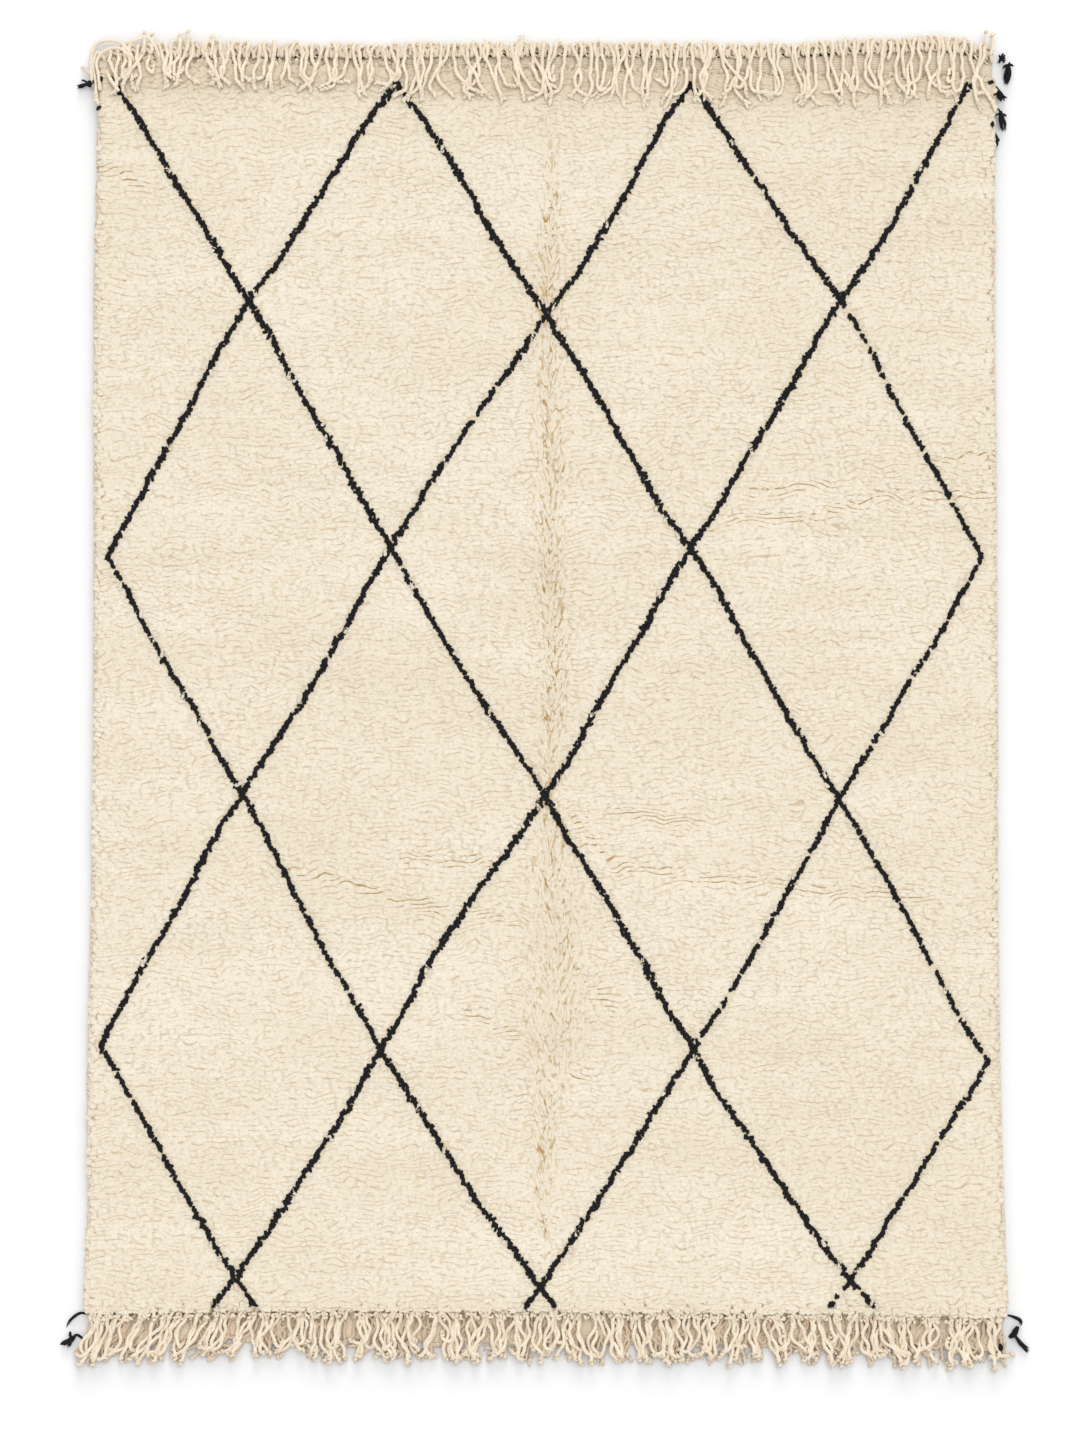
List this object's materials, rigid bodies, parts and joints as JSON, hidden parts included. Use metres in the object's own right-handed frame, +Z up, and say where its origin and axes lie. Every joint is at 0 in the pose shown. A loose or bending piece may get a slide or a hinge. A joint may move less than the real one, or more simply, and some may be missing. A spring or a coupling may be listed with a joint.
{
  "type": "beni ourain rug",
  "caption": "Rectangular hand-knotted wool pile rug, ivory with a lattice of thin black lozenges, fringed at both ends, with black yarn tassels at its corners.",
  "frame": {"origin": "middle of the rug's outline, on the floor under it", "axes": "+Z up out of the pile, +Y along the rug towards its head end, where the fringe is folded back over the flat-woven heading, +X across the rug"},
  "size_m": [1.8286, 2.5265, 0.035],
  "materials": {
    "ivory_wool": "cut wool pile, matte",
    "warp_yarn": "two-ply twisted wool cord, matte",
    "black_wool": "dyed wool yarn, matte"
  },
  "bodies": {
    "root": {"pile_field": "ivory_wool", "head_fringe": "warp_yarn", "foot_fringe": "warp_yarn", "selvedge_end_left": "warp_yarn", "tassel_head_right_1": "black_wool", "tassel_head_right_2": "black_wool", "tassel_head_right_3": "black_wool", "tassel_head_right_4": "black_wool", "tassel_head_right_5": "black_wool", "tassel_head_left": "black_wool", "tassel_foot_left_1": "black_wool", "tassel_foot_left_2": "black_wool", "tassel_foot_right": "black_wool"}
  },
  "joints": []
}
